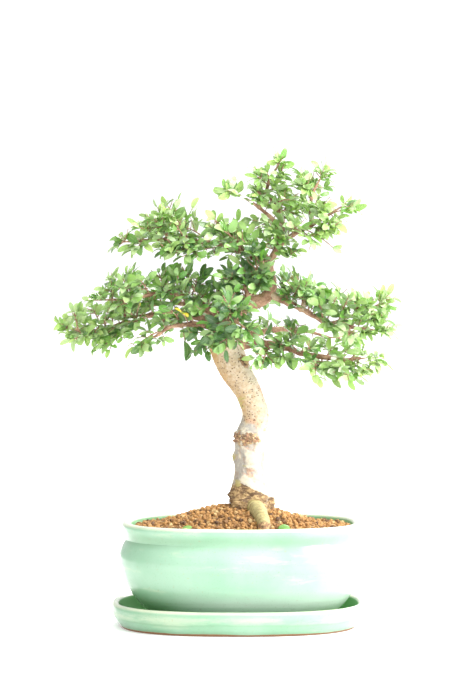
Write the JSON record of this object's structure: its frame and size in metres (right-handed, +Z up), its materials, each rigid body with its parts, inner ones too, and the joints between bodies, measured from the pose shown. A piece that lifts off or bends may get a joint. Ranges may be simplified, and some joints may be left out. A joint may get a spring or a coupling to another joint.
{
  "type": "potted bonsai tree",
  "caption": "Small-leaved elm bonsai with an S-curved trunk and layered leafy sprays, in an oval glazed pot that stands on its drip saucer.",
  "frame": {"origin": "point of the saucer's flat underside that lies below the pot's centre, on the surface the object stands on", "axes": "+Z up, +X to the viewer's right along the pot's length, +Y away from the viewer"},
  "size_m": [0.2903, 0.163, 0.3976],
  "materials": {
    "celadon_glaze": "glossy pale green crackle-free glaze, thin and paler on edges",
    "mesh_plastic": "matt black moulded mesh",
    "clay_granules": "loose porous fired-clay granules, damp red-brown",
    "bark": "thin living bark, tan with dark pores above, flaking grey-white below",
    "elm_leaf": "leathery green leaf, satin above and paler beneath"
  },
  "bodies": {
    "root": {"saucer": "celadon_glaze", "pot": "celadon_glaze", "drain_mesh_left": "mesh_plastic", "drain_mesh_right": "mesh_plastic", "soil": "clay_granules", "tree": "bark", "spray_01": "elm_leaf", "spray_02": "elm_leaf", "spray_03": "elm_leaf", "spray_04": "elm_leaf", "spray_05": "elm_leaf", "spray_06": "elm_leaf", "spray_07": "elm_leaf", "spray_08": "elm_leaf", "spray_09": "elm_leaf", "spray_10": "elm_leaf", "spray_11": "elm_leaf", "spray_12": "elm_leaf", "spray_13": "elm_leaf", "spray_14": "elm_leaf", "spray_15": "elm_leaf", "spray_16": "elm_leaf", "spray_17": "elm_leaf", "spray_18": "elm_leaf", "spray_19": "elm_leaf", "spray_20": "elm_leaf", "spray_21": "elm_leaf", "spray_22": "elm_leaf", "spray_23": "elm_leaf", "spray_24": "elm_leaf", "spray_25": "elm_leaf", "spray_26": "elm_leaf", "spray_27": "elm_leaf", "spray_28": "elm_leaf", "spray_29": "elm_leaf", "spray_30": "elm_leaf", "spray_31": "elm_leaf", "spray_32": "elm_leaf", "spray_33": "elm_leaf", "spray_34": "elm_leaf", "spray_35": "elm_leaf", "spray_36": "elm_leaf", "spray_37": "elm_leaf", "spray_38": "elm_leaf", "spray_39": "elm_leaf", "spray_40": "elm_leaf", "spray_41": "elm_leaf", "spray_42": "elm_leaf", "spray_43": "elm_leaf", "spray_44": "elm_leaf", "spray_45": "elm_leaf", "spray_46": "elm_leaf", "spray_47": "elm_leaf", "spray_48": "elm_leaf", "spray_49": "elm_leaf", "spray_50": "elm_leaf", "spray_51": "elm_leaf", "spray_52": "elm_leaf", "spray_53": "elm_leaf", "spray_54": "elm_leaf"}
  },
  "joints": []
}
